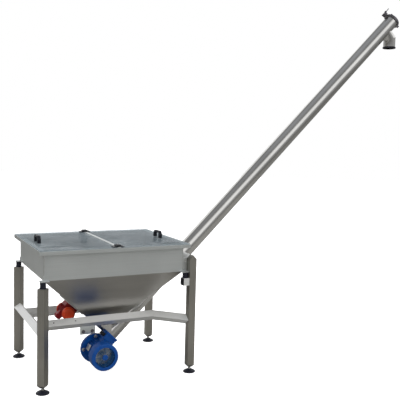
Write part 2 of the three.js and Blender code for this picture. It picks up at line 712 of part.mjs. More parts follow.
// The worm: a sleeve on the motor's shaft with a grooved thread over the wheel
function worm() {
  const thread = [];
  for (let y = -18; y < 18; y += 18) {
    thread.push([11, y], [14, y + 4], [14, y + 12], [11, y + 16]);
  }
  const profile = [[0, -50], [11, -50], ...thread, [11, 34], [9, 40], [0, 40]]
    .map(([r, y]) => new THREE.Vector2(r, y));
  const geometry = new THREE.LatheGeometry(profile, AROUND_SMALL);
  geometry.translate(WORM_OFFSET, 0, 0);
  return solid(geometry).subtract(roundY(7, -51, 20, WORM_OFFSET, 0, AROUND_SMALL));
}

// The motor's finned housing with its round flange, bored for the rotor
function motorBody() {
  const fins = 28;
  const outline = [];
  for (let i = 0; i < fins; i += 1) {
    const turn = i / fins * 2 * Math.PI;
    const step = Math.PI / fins;
    for (const [radius, part] of [[61, -0.9], [61, 0.1], [MOTOR_RADIUS, 0.3], [MOTOR_RADIUS, 0.8]]) {
      const a = turn + step * part;
      outline.push([WORM_OFFSET + radius * Math.cos(a), radius * Math.sin(a)]);
    }
  }
  const front = MOTOR_FRONT - GAP;
  const body = prismY(outline, MOTOR_REAR, front - 10)
    .add(roundY(MOTOR_FLANGE_RADIUS, front - 12, front, WORM_OFFSET, 0, AROUND_PIPE))
    .add(box(WORM_OFFSET - 36, WORM_OFFSET + 36, -186, -108, 57, 84));
  return body
    .subtract(roundY(52, MOTOR_REAR - 1, front - 26, WORM_OFFSET, 0))
    .subtract(roundY(10, MOTOR_REAR, front + 1, WORM_OFFSET, 0, AROUND_SMALL));
}

function rotor() {
  let shape = roundY(44, MOTOR_REAR + 30, MOTOR_FRONT - 60, WORM_OFFSET, 0)
    .add(roundY(9, MOTOR_REAR - 34, MOTOR_FRONT - 2, WORM_OFFSET, 0, AROUND_SMALL))
    .add(roundY(6.6, MOTOR_FRONT - 4, 18, WORM_OFFSET, 0, AROUND_SMALL))
    .add(roundY(60, MOTOR_REAR - 14, MOTOR_REAR - 10, WORM_OFFSET, 0));
  for (let i = 0; i < 6; i += 1) {
    const geometry = new THREE.BoxGeometry(52, 18, 3.2);
    geometry.translate(31, MOTOR_REAR - 21, 0);
    geometry.rotateY(i / 6 * 2 * Math.PI);
    geometry.translate(WORM_OFFSET, 0, 0);
    shape = shape.add(solid(geometry));
  }
  return shape;
}

// A cup over the fan with a ring grille in its end
function fanCover() {
  const inner = FAN_COVER_RADIUS - 3;
  let cup = roundY(FAN_COVER_RADIUS, FAN_COVER_END, MOTOR_REAR + 6, WORM_OFFSET, 0, AROUND_PIPE)
    .subtract(roundY(inner, FAN_COVER_END + 3, MOTOR_REAR + 7, WORM_OFFSET, 0, AROUND_PIPE));
  const spokes = 6;
  for (const [r0, r1] of [[24, 66]]) {
    for (let i = 0; i < spokes; i += 1) {
      const middle = (i + 0.5) / spokes * 2 * Math.PI;
      const half = Math.PI / spokes - 5 / r0;
      const slot = new THREE.Shape();
      slot.absarc(0, 0, r1, middle - half, middle + half, false);
      slot.absarc(0, 0, r0, middle + half, middle - half, true);
      const geometry = new THREE.ExtrudeGeometry(
        slot, { depth: 10, bevelEnabled: false, curveSegments: 2 },
      );
      geometry.rotateX(Math.PI / 2);
      geometry.translate(WORM_OFFSET, FAN_COVER_END + 6, 0);
      cup = cup.subtract(solid(geometry));
    }
  }
  return cup;
}

function terminalBox() {
  const x = WORM_OFFSET - 3;
  const body = box(x - 43, x + 43, -188, -106, 84 + GAP, 124);
  const lidPlate = box(x - 46, x + 46, -191, -103, 123, 138);
  return body.add(lidPlate).subtract(box(x - 36, x + 36, -181, -113, 80, 130));
}

function conveyor() {
  const group = new THREE.Group();
  group.position.set(DRIVE_X, 0, DRIVE_Z);
  group.rotation.y = Math.PI / 2 - AUGER_ANGLE;
  group.add(piece('auger_tube', conveyorTube(), POLISHED));
  group.add(piece('spout', spout(), POLISHED));
  group.add(piece('tube_saddle', tubeSaddle(), STEEL));
  group.add(piece('auger_shaft', augerShaft(), STEEL));
  group.add(piece('auger_flight', augerFlight(), STEEL));
  group.add(piece('end_cover', endCover(), DARK_STEEL));
  group.add(piece('top_bush', topBush(), BRONZE));

  const lip = piece('spout_lip', spoutLip(), BLACK_RUBBER);
  const down = new THREE.Vector3(Math.cos(AUGER_ANGLE), 0, -Math.sin(AUGER_ANGLE));
  lip.quaternion.setFromUnitVectors(new THREE.Vector3(0, 0, -1), down);
  lip.position.set(SPOUT_REACH, 0, SPOUT_AT).addScaledVector(down, SPOUT_DROP - 9);
  group.add(lip);

  const clamp = new THREE.Group();
  clamp.rotation.z = CLAMP_TURN;
  clamp.add(piece('clamp_half_upper', clampHalf(1), DARK_STEEL));
  clamp.add(piece('clamp_half_lower', clampHalf(-1), DARK_STEEL));
  clamp.add(piece('clamp_bolt', clampBolt(), STEEL));
  clamp.add(piece('clamp_wing_nut', wingNut(), DARK_STEEL));
  group.add(clamp);

  group.add(piece('gearbox', gearbox(), MOTOR_BLUE));
  group.add(piece('worm_wheel', wormWheel(), BRONZE));
  group.add(piece('worm', worm(), STEEL));
  group.add(piece('motor_body', motorBody(), MOTOR_BLUE));
  group.add(piece('motor_rotor', rotor(), STEEL));
  group.add(piece('fan_cover', fanCover(), MOTOR_BLUE));
  group.add(piece('terminal_box', terminalBox(), MOTOR_BLUE));
  return group;
}

// Vibrator on the hopper's left slope, in its own frame: Z toward the slope, Y along its shaft
function vibratorBody() {
  const base = VIBRATOR_STANDOFF - 6 - 2 * GAP;
  const body = roundY(VIBRATOR_RADIUS, -60, 60)
    .add(box(-46, 46, -44, 44, 24, base))
    .add(roundY(22, -44, 0, -30, -52, AROUND_SMALL))
    .add(box(-46, -18, -40, -4, -52, -20));
  return body.subtract(roundY(36, -70, 70));
}

function vibratorCap() {
  const profile = [
    [0, 0], [32, 0], [45, 12], [45, 32], [39, 32], [39, 6], [0, 6],
  ].map(([r, y]) => new THREE.Vector2(r, y));
  return solid(new THREE.LatheGeometry(profile, AROUND));
}

function vibratorRotor() {
  let shape = roundY(31, -40, 40).add(roundY(8, -80, 80, 0, 0, AROUND_SMALL));
  for (const y of [-78, 66]) {
    shape = shape.add(roundY(32, y, y + 12).intersect(box(-40, 40, y, y + 12, -40, 6)));
  }
  return shape;
}

function vibratorMount() {
  return mirrored(-92, 92, 50, VIBRATOR_STANDOFF - 6 - GAP, VIBRATOR_STANDOFF - GAP);
}

function vibrator() {
  const group = new THREE.Group();
  const slope = new THREE.Vector2(OUTLET.x0 - BOX.x0, OUTLET.z - BOX.z0 + GAP).normalize();
  const x = BOX.x0 + slope.x * VIBRATOR_ALONG + slope.y * VIBRATOR_STANDOFF;
  const z = BOX.z0 + slope.y * VIBRATOR_ALONG - slope.x * VIBRATOR_STANDOFF;
  group.position.set(x, 0, z);
  group.rotation.y = Math.atan2(-slope.y, slope.x);
  group.add(piece('vibrator_body', vibratorBody(), VIBRATOR_RED));
  group.add(piece('vibrator_rotor', vibratorRotor(), STEEL));
  group.add(piece('vibrator_mount', vibratorMount(), STEEL));
  const front = piece('vibrator_cap_front', vibratorCap(), CAP_ORANGE);
  front.position.y = -92.6;
  group.add(front);
  const back = piece('vibrator_cap_back', vibratorCap(), CAP_ORANGE);
  back.rotation.z = Math.PI;
  back.position.y = 92.6;
  group.add(back);
  return group;
}

const grainAuger = new THREE.Group();
grainAuger.add(frame(), feet(), hopperSupports(), hopper(), conveyor(), vibrator());

// The origin is moved to the floor below the middle of the whole machine.
const extent = new THREE.Box3().setFromObject(grainAuger, true);
grainAuger.position.x = -(extent.min.x + extent.max.x) / 2;

export default grainAuger;
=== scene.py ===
"""A grain auger: a lidded hopper on a tube frame, its geared screw conveyor, its vibrator and its spout."""

import json
import logging
import math
from dataclasses import dataclass, field
from enum import Enum
from typing import Sequence

import bmesh
import bpy
import numpy as np
from mathutils import Matrix, Vector


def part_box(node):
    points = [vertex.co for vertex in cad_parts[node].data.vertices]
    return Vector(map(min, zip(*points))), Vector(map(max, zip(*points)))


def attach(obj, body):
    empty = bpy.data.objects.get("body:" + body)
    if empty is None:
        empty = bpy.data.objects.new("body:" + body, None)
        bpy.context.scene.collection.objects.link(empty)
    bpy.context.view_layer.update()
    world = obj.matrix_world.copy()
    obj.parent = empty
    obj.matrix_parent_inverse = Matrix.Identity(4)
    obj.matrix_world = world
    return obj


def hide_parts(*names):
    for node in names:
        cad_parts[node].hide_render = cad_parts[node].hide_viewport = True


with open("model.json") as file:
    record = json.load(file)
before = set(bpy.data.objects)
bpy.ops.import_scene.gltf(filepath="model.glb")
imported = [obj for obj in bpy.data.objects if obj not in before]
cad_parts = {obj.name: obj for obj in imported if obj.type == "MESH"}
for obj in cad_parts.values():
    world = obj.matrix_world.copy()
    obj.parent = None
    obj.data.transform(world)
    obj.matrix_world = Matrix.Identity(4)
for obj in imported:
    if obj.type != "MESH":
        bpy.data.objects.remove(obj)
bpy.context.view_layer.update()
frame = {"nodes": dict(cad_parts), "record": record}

LOG = logging.getLogger("grain_auger")
RECORD = frame["record"]
JOINTS = {joint["name"]: joint for joint in RECORD["behaviour"]["joints"]}
BODY_OF = {node: body for body, nodes in RECORD["behaviour"]["bodies"].items() for node in nodes}
MM = 0.001
MACHINE = "machine"


# ---------------------------------------------------------------- shapes


@dataclass
class Surface:
    """Points and faces of one closed shape, in metres."""

    points: np.ndarray
    faces: list[tuple[int, ...]]

    def moved(self, matrix: np.ndarray) -> "Surface":
        """Returns the surface carried by a 4x4 matrix: each point times the matrix."""
        return Surface(self.points @ matrix[:3, :3].T + matrix[:3, 3], self.faces)

    def __add__(self, other: "Surface") -> "Surface":
        """Returns both surfaces as one list of points and faces."""
        shift = len(self.points)
        faces = self.faces + [tuple(i + shift for i in face) for face in other.faces]
        return Surface(np.vstack([self.points, other.points]), faces)


def mm(*points: tuple[float, float]) -> list[tuple[float, float]]:
    """Profile points given in millimetres, turned into metres."""
    return [(x * MM, z * MM) for x, z in points]


def grid(points: np.ndarray, wrap_rows: bool = False, wrap_columns: bool = True,
         caps: bool = False) -> Surface:
    """Joins a grid of points into quads.

    Args:
        points: rows x columns x 3 coordinates.
        wrap_rows: the last row joins the first one.
        wrap_columns: the last column joins the first one.
        caps: the first and the last row are closed with one face each.

    Returns:
        The surface, with vertex i * columns + j at row i and column j.
    """
    rows, columns = points.shape[:2]
    row_steps = np.arange(rows if wrap_rows else rows - 1)
    column_steps = np.arange(columns if wrap_columns else columns - 1)
    i, j = np.meshgrid(row_steps, column_steps, indexing="ij")
    below, right = (i + 1) % rows, (j + 1) % columns
    here, under = i * columns, below * columns
    quads = np.stack([here + j, here + right, under + right, under + j], axis=-1)
    faces = [tuple(quad) for quad in quads.reshape(-1, 4).tolist()]
    if caps:
        faces += [tuple(range(columns)), tuple(range((rows - 1) * columns, rows * columns))]
    return Surface(points.reshape(-1, 3), faces)


def place(origin: Sequence[float], along: Sequence[float] = (0, 0, 1),
          across: Sequence[float] = (1, 0, 0)) -> np.ndarray:
    """Returns the matrix that stands local Z along one direction and local X near another, at an origin."""
    z = np.asarray(along, float) / np.linalg.norm(along)
    x = np.asarray(across, float) - z * np.dot(across, z)
    x /= np.linalg.norm(x)
    matrix = np.eye(4)
    matrix[:3, 0], matrix[:3, 1], matrix[:3, 2], matrix[:3, 3] = x, np.cross(z, x), z, origin
    return matrix


def lathe(profile: Sequence[tuple[float, float]], sides: int = 48, ring: bool = False) -> Surface:
    """Turns a profile of (radius, height) about Z: x = r cos t, y = r sin t, z = height.

    Args:
        profile: the points, from one pole to the other, or all round a ring's section.
        sides: how many steps make a full turn.
        ring: the profile closes on itself.

    Returns:
        The turned surface.
    """
    outline = np.asarray(profile, float)
    turn = np.linspace(0, 2 * math.pi, sides, endpoint=False)
    points = np.empty((len(outline), sides, 3))
    points[..., 0] = outline[:, :1] * np.cos(turn)
    points[..., 1] = outline[:, :1] * np.sin(turn)
    points[..., 2] = outline[:, 1:]
    return grid(points, wrap_rows=ring)


def rounded(points: Sequence[tuple[float, float]], radius: float,
            steps: int = 4) -> list[tuple[float, float]]:
    """Rounds each inner corner of an open profile with a quadratic curve that starts a radius from it."""
    corners = np.asarray(points, float)
    made = [tuple(corners[0])]
    t = np.linspace(0, 1, steps + 1)[:, None]
    for before, corner, after in zip(corners[:-2], corners[1:-1], corners[2:]):
        back, ahead = before - corner, after - corner
        reach = min(radius, 0.45 * np.linalg.norm(back), 0.45 * np.linalg.norm(ahead))
        start = corner + back / np.linalg.norm(back) * reach
        end = corner + ahead / np.linalg.norm(ahead) * reach
        made += [tuple(p) for p in (1 - t) ** 2 * start + 2 * t * (1 - t) * corner + t**2 * end]
    return made + [tuple(corners[-1])]


def ring(radius: float, wire: float, height: float = 0.0, sides: int = 48, around: int = 8) -> Surface:
    """A round wire bent to a circle: a circle of the wire's radius turned about Z at the ring's radius."""
    turn = np.linspace(0, 2 * math.pi, around, endpoint=False)
    return lathe(np.c_[radius + wire * np.cos(turn), height + wire * np.sin(turn)], sides, ring=True)


def rounded_rectangle(width: float, depth: float, corner: float, steps: int = 5) -> np.ndarray:
    """The outline of a rectangle with quarter circles at its corners, as (x, y) points about its middle."""
    turn = np.linspace(0, math.pi / 2, steps + 1)
    quarters = []
    for index, (sx, sy) in enumerate(((1, 1), (-1, 1), (-1, -1), (1, -1))):
        centre = np.array([sx * (width / 2 - corner), sy * (depth / 2 - corner)])
        angle = turn + index * math.pi / 2
        quarters.append(centre + corner * np.c_[np.cos(angle), np.sin(angle)])
    return np.vstack(quarters)


def plate(width: float, depth: float, height: float, corner: float = 2 * MM,
          edge: float = 0.6 * MM) -> Surface:
    """A flat plate from z 0 up: rounded rectangles stacked, drawn in by the edge's radius at both faces."""
    levels = [(0.0, edge), (0.3 * edge, 0.3 * edge), (edge, 0.0)]
    levels += [(height - z, inset) for z, inset in reversed(levels)]
    corner = max(corner, edge * 1.2)
    rows = []
    for z, inset in levels:
        outline = rounded_rectangle(width - 2 * inset, depth - 2 * inset, corner - inset)
        rows.append(np.c_[outline, np.full(len(outline), z)])
    return grid(np.array(rows), caps=True)


def rod(path: Sequence[Sequence[float]], radius: float, around: int = 10) -> Surface:
    """A round bar along a path: a circle set square to the path's direction at each of its points."""
    points = np.asarray(path, float)
    way = np.gradient(points, axis=0)
    way /= np.linalg.norm(way, axis=1)[:, None]
    helper = np.where(np.abs(way[:, 2:3]) > 0.9, np.array([[1.0, 0, 0]]), np.array([[0, 0, 1.0]]))
    side = np.cross(way, helper)
    side /= np.linalg.norm(side, axis=1)[:, None]
    up = np.cross(side, way)
    turn = np.linspace(0, 2 * math.pi, around, endpoint=False)[None, :, None]
    rows = points[:, None] + radius * (np.cos(turn) * side[:, None] + np.sin(turn) * up[:, None])
    return grid(rows, caps=True)


def hexagon_bolt(across: float, head: float, washer: float = 0.0) -> Surface:
    """A hexagon head with a chamfered top on a round washer, standing on z 0."""
    base = 1.6 * MM if washer else 0.0
    point, top = across * 0.577, base + head
    outline = [(0, base), (point, base), (point, base + head * 0.8), (across * 0.47, top), (0, top)]
    head_part = lathe(outline, 6)
    if not washer:
        return head_part
    return head_part + lathe(rounded([(0, 0), (washer, 0), (washer, base), (0, base)], 0.4 * MM, 2), 24)


# ---------------------------------------------------------------- finishes


class Wire:
    """One output of a shader node, which sums and products of Python turn into Math nodes."""

    def __init__(self, sheet: "Sheet", socket: bpy.types.NodeSocket) -> None:
        """Keeps the node sheet and the output socket."""
        self.sheet = sheet
        self.socket = socket

    def _math(self, operation: str, first: "Wire | float", second: "Wire | float") -> "Wire":
        """Adds one Math node that works on two values."""
        return self.sheet.node("ShaderNodeMath", {"operation": operation}, {0: first, 1: second})

    def __add__(self, other: "Wire | float") -> "Wire":
        """Adds."""
        return self._math("ADD", self, other)

    __radd__ = __add__

    def __mul__(self, other: "Wire | float") -> "Wire":
        """Multiplies."""
        return self._math("MULTIPLY", self, other)

    __rmul__ = __mul__


class Sheet:
    """The node sheet of one material."""

    def __init__(self, name: str) -> None:
        """Makes an empty material of that name with its output node."""
        self.material = bpy.data.materials.new(name)
        self.material.use_nodes = True
        self.tree = self.material.node_tree
        self.tree.nodes.clear()
        self.output = self.tree.nodes.new("ShaderNodeOutputMaterial")
        self.place = self.node("ShaderNodeTexCoord", {}, {}, "Object")

    def node(self, kind: str, settings: dict, inputs: dict, output: int | str = 0) -> Wire:
        """Adds a node.

        Args:
            kind: the node's type.
            settings: its properties, set first; "stops" gives a ramp's (place, grey) pairs.
            inputs: values or wires by socket name or number.
            output: the output that the wire returned starts from.

        Returns:
            A wire from that output.
        """
        made = self.tree.nodes.new(kind)
        for key, value in settings.items():
            if key == "stops":
                self._stops(made.color_ramp, value)
            else:
                setattr(made, key, value)
        for key, value in inputs.items():
            if isinstance(value, Wire):
                self.tree.links.new(value.socket, made.inputs[key])
            else:
                made.inputs[key].default_value = value
        return Wire(self, made.outputs[output])

    @staticmethod
    def _stops(ramp: bpy.types.ColorRamp, stops: Sequence[tuple[float, float]]) -> None:
        """Sets a ramp's stops to greys."""
        while len(ramp.elements) < len(stops):
            ramp.elements.new(0.5)
        for element, (position, grey) in zip(ramp.elements, stops):
            element.position = position
            element.color = (grey, grey, grey, 1)

    def stretched(self, scale: Sequence[float]) -> Wire:
        """Object coordinates, scaled along each axis."""
        return self.node("ShaderNodeMapping", {}, {"Vector": self.place, "Scale": tuple(scale)})

    def noise(self, at: Wire, scale: float, detail: float = 3.0) -> Wire:
        """Noise from 0 to 1 at a scale per metre."""
        return self.node("ShaderNodeTexNoise", {}, {"Vector": at, "Scale": scale, "Detail": detail}, "Fac")

    def blend(self, mask: Wire, first: Sequence[float] | Wire, second: Sequence[float] | Wire) -> Wire:
        """Mixes two colours by a mask."""
        colours = {6: self._rgba(first), 7: self._rgba(second)}
        return self.node("ShaderNodeMix", {"data_type": "RGBA"}, {0: mask, **colours}, 2)

    @staticmethod
    def _rgba(colour: Sequence[float] | Wire) -> "tuple[float, ...] | Wire":
        """Gives a plain colour its alpha."""
        return colour if isinstance(colour, Wire) else (*colour, 1.0)

    def ramp(self, value: Wire, stops: Sequence[tuple[float, float]]) -> Wire:
        """Maps a value through grey stops."""
        return self.node("ShaderNodeValToRGB", {"stops": stops}, {"Fac": value})

    def bump(self, height: Wire, depth: float, strength: float = 1.0) -> Wire:
        """A normal from a height field of that depth in metres."""
        return self.node("ShaderNodeBump", {}, {"Height": height, "Distance": depth, "Strength": strength})

    def close(self, inputs: dict) -> bpy.types.Material:
        """Adds the surface shader with its inputs and returns the material."""
        shader = self.node("ShaderNodeBsdfPrincipled", {}, inputs)
        self.tree.links.new(shader.socket, self.output.inputs["Surface"])
        return self.material


@dataclass(frozen=True)
class Steel:
    """Stainless steel: a drawn or ground grain along one axis, cloudy stains and fine scratches."""

    name: str
    light: tuple[float, float, float]
    dark: tuple[float, float, float]
    roughness: float
    spread: float = 0.12
    grain: tuple[float, float, float] = (3, 260, 260)
    depth: float = 0.00002
    metal: float = 1.0

    def material(self) -> bpy.types.Material:
        """Builds the finish."""
        sheet = Sheet(self.name)
        streak = sheet.noise(sheet.stretched(self.grain), 1.0, 4)
        cloud = sheet.noise(sheet.place, 3.2, 3)
        fine = sheet.noise(sheet.stretched([3 * g for g in self.grain]), 1.0, 2)
        mask = sheet.ramp(cloud * 0.6 + streak * 0.4, [(0.32, 0.0), (0.68, 1.0)])
        lowest = self.roughness - self.spread * 0.7
        return sheet.close({
            "Base Color": sheet.blend(mask, self.dark, self.light),
            "Metallic": self.metal,
            "Roughness": streak * self.spread + fine * (self.spread * 0.5) + lowest,
            "Normal": sheet.bump(streak + fine, self.depth, 0.5),
        })


@dataclass(frozen=True)
class Paint:
    """Gloss paint on a casting: a faint orange peel and paler worn patches."""

    name: str
    colour: tuple[float, float, float]
    worn: tuple[float, float, float]
    roughness: float = 0.28
    peel: float = 0.00006

    def material(self) -> bpy.types.Material:
        """Builds the finish."""
        sheet = Sheet(self.name)
        skin = sheet.noise(sheet.place, 420.0, 2)
        patch = sheet.ramp(sheet.noise(sheet.place, 34.0, 4), [(0.42, 0.0), (0.78, 1.0)])
        return sheet.close({
            "Base Color": sheet.blend(patch * 0.5, self.colour, self.worn),
            "Roughness": patch * 0.22 + self.roughness,
            "Specular IOR Level": 0.2,
            "Coat Weight": 0.12,
            "Coat Roughness": 0.1,
            "Normal": sheet.bump(skin, self.peel, 0.6),
        })


@dataclass(frozen=True)
class Moulding:
    """Moulded rubber or plastic: a fine matt grain with dusty, slightly paler spots."""

    name: str
    colour: tuple[float, float, float]
    dust: tuple[float, float, float]
    roughness: float = 0.5
    grain: float = 900.0

    def material(self) -> bpy.types.Material:
        """Builds the finish."""
        sheet = Sheet(self.name)
        pores = sheet.noise(sheet.place, self.grain, 2)
        dust = sheet.ramp(sheet.noise(sheet.place, 45.0, 4), [(0.5, 0.0), (0.85, 1.0)])
        return sheet.close({
            "Base Color": sheet.blend(dust * 0.6, self.colour, self.dust),
            "Roughness": dust * 0.15 + pores * 0.1 + self.roughness,
            "Specular IOR Level": 0.3,
            "Normal": sheet.bump(pores, 0.00008, 0.5),
        })


@dataclass(frozen=True)
class ClearSheet:
    """Clear plastic sheet: faint tint, light rubbed scratches that catch the light, dusty haze."""

    name: str
    tint: tuple[float, float, float]

    def material(self) -> bpy.types.Material:
        """Builds the finish: mostly see-through, with haze where it is scratched."""
        sheet = Sheet(self.name)
        rub = sheet.noise(sheet.stretched((7, 90, 7)), 1.0, 5)
        haze = sheet.ramp(rub * 0.6 + sheet.noise(sheet.place, 5.0, 4) * 0.4, [(0.40, 0.0), (0.62, 0.34)])
        clear = sheet.node("ShaderNodeBsdfTransparent", {}, {"Color": (*self.tint, 1)})
        gloss = sheet.node("ShaderNodeBsdfPrincipled", {}, {
            "Base Color": (0.30, 0.34, 0.37, 1), "Roughness": rub * 0.10 + 0.01, "IOR": 1.49,
        })
        facing = sheet.node("ShaderNodeFresnel", {}, {"IOR": 1.45})
        mask = facing * 0.30 + haze
        mixed = sheet.node("ShaderNodeMixShader", {}, {0: mask, 1: clear, 2: gloss})
        sheet.tree.links.new(mixed.socket, sheet.output.inputs["Surface"])
        return sheet.material


class Finish(Enum):
    """The finishes of the machine, each with the record's slot that it belongs to."""

    FRAME = ("frame_steel", Steel(
        "leg_steel", (0.40, 0.385, 0.35), (0.27, 0.26, 0.235),
        0.36, grain=(260, 260, 3),
    ))
    # Rails, cross tube and arms: a much lighter copy of the frame's steel with less metal. Its near-white
    # colour is painted light for their brightly lit upper faces.
    RAIL_PAINTED_LIGHT = ("frame_steel", Steel(
        "rail_steel_painted_light", (0.86, 0.865, 0.855), (0.72, 0.725, 0.72),
        0.34, grain=(3, 260, 260), metal=0.6,
    ))
    SHEET = ("hopper_steel", Steel(
        "hopper_sheet", (0.64, 0.668, 0.665), (0.56, 0.588, 0.588),
        0.36, grain=(2.5, 300, 120), depth=0.00001, metal=0.88,
    ))
    # The cone: a darker, warmer copy of the hopper steel, painted shade for its downward-facing slopes.
    CONE_PAINTED_SHADE = ("hopper_steel", Steel(
        "cone_sheet_painted_shade", (0.50, 0.485, 0.455), (0.42, 0.41, 0.39),
        0.30, spread=0.05, grain=(2, 40, 14), depth=0.0,
    ))
    PIPE = ("polished_steel", Steel(
        "conveyor_pipe", (0.62, 0.615, 0.60), (0.52, 0.515, 0.50),
        0.17, spread=0.06, grain=(5, 5, 5), depth=0.0,
    ))
    STEM = ("polished_steel", Steel(
        "foot_stem", (0.75, 0.75, 0.74), (0.6, 0.6, 0.6),
        0.18, grain=(200, 200, 200),
    ))
    TURNED = ("machined_steel", Steel(
        "turned_steel", (0.58, 0.58, 0.57), (0.45, 0.45, 0.44),
        0.28, grain=(90, 90, 90),
    ))
    CLAMP = ("clamp_steel", Steel(
        "clamp_casting", (0.20, 0.19, 0.21), (0.11, 0.105, 0.12),
        0.42, grain=(120, 120, 120),
    ))
    CLEAR = ("lid_sheet", ClearSheet("clear_lid", (0.86, 0.89, 0.90)))
    RUBBER = ("black_rubber", Moulding("navy_rubber", (0.007, 0.008, 0.016), (0.022, 0.024, 0.034), 0.4))
    PLASTIC = ("black_plastic", Moulding("black_moulding", (0.007, 0.008, 0.012), (0.02, 0.023, 0.03), 0.34))
    BLUE = ("motor_blue", Paint("motor_blue_paint", (0.003, 0.062, 0.29), (0.008, 0.10, 0.36)))
    PLATE = ("motor_blue", Steel(
        "blank_nameplate", (0.78, 0.77, 0.74), (0.62, 0.61, 0.59),
        0.4, grain=(60, 300, 60),
    ))
    WIRE = ("motor_blue", Paint("grille_paint", (0.014, 0.07, 0.17), (0.05, 0.13, 0.24), 0.35))
    RED = ("vibrator_red", Paint("vibrator_red_paint", (0.20, 0.008, 0.012), (0.34, 0.03, 0.03)))
    ORANGE = ("cap_orange", Paint("cap_orange_paint", (0.52, 0.045, 0.012), (0.66, 0.10, 0.04), 0.34))
    BRONZE = ("bronze", Steel(
        "bronze_casting", (0.62, 0.40, 0.18), (0.44, 0.27, 0.12),
        0.34, grain=(80, 80, 80),
    ))

    @property
    def slot(self) -> str:
        """The record's slot."""
        return self.value[0]


class Paintbox:
    """Makes each finish's material once and hands it out."""

    def __init__(self) -> None:
        """Starts with no material made."""
        self._made: dict[Finish, bpy.types.Material] = {}

    def get(self, finish: Finish) -> bpy.types.Material:
        """Returns the finish's material, made on first use."""
        if finish not in self._made:
            self._made[finish] = finish.value[1].material()
        return self._made[finish]


# ---------------------------------------------------------------- bench


@dataclass
class Bench:
    """Turns surfaces and CAD nodes into finished pieces that ride on their bodies."""

    paints: Paintbox = field(default_factory=Paintbox)
    smooth_below: float = math.radians(38)

    def make(self, name: str, surface: Surface, finish: Finish, body: str = MACHINE,
             replaces: Sequence[str] = (), bevel: float = 0.0) -> bpy.types.Object:
        """Makes one piece.

        Args:
            name: the piece's name.
            surface: its shape in the machine's frame.
            finish: its finish.
            body: the body that it rides on.
            replaces: the CAD nodes that it stands for.
            bevel: the radius given to its sharp edges.

        Returns:
            The object.
        """
        mesh = bpy.data.meshes.new(name)
        mesh.from_pydata(surface.points.tolist(), [], surface.faces)
        work = bmesh.new()
        work.from_mesh(mesh)
        bmesh.ops.remove_doubles(work, verts=work.verts, dist=1e-6)
        bmesh.ops.recalc_face_normals(work, faces=work.faces)
        return self._finish(name, mesh, work, finish, body, replaces, bevel)

    def skin(self, node: str, finish: Finish, bevel: float = 0.6 * MM) -> bpy.types.Object:
        """Stands a merged, softly edged copy in for a CAD node.

        Args:
            node: the CAD node.
            finish: the copy's finish.
            bevel: the radius given to its sharp edges.

        Returns:
            The copy.
        """
        mesh = frame["nodes"][node].data.copy()
        work = bmesh.new()
        work.from_mesh(mesh)
        bmesh.ops.remove_doubles(work, verts=work.verts, dist=1e-5)
        bmesh.ops.dissolve_limit(work, angle_limit=math.radians(0.6), verts=work.verts, edges=work.edges)
        return self._finish(f"{node}_skin", mesh, work, finish, BODY_OF[node], [node], bevel)

    def _finish(self, name: str, mesh: bpy.types.Mesh, work: bmesh.types.BMesh, finish: Finish, body: str,
                replaces: Sequence[str], bevel: float) -> bpy.types.Object:
        """Smooths the soft edges, sets the material and puts the piece on its body."""
        for face in work.faces:
            face.smooth = True
        for edge in work.edges:
            edge.smooth = len(edge.link_faces) == 2 and edge.calc_face_angle(math.pi) < self.smooth_below
        work.to_mesh(mesh)
        work.free()
        mesh.materials.clear()
        mesh.materials.append(self.paints.get(finish))
        piece = bpy.data.objects.new(name, mesh)
        bpy.context.scene.collection.objects.link(piece)
        if bevel:
            soft = piece.modifiers.new("edge", "BEVEL")
            soft.width, soft.segments, soft.limit_method = bevel, 2, "ANGLE"
            soft.angle_limit, soft.harden_normals = self.smooth_below, True
        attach(piece, body)
        if replaces:
            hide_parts(*replaces)
        LOG.info("%s rides on %s", name, body)
        return piece


def span(node: str) -> tuple[np.ndarray, np.ndarray]:
    """A CAD node's lowest and highest corner as arrays."""
    low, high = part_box(node)
    return np.array(low), np.array(high)


ENDS = {"front": -1, "back": 1}
HANDS = {"left": -1, "right": 1}
CORNERS = [(end, hand) for end in ENDS for hand in HANDS]


# ---------------------------------------------------------------- sub-assemblies


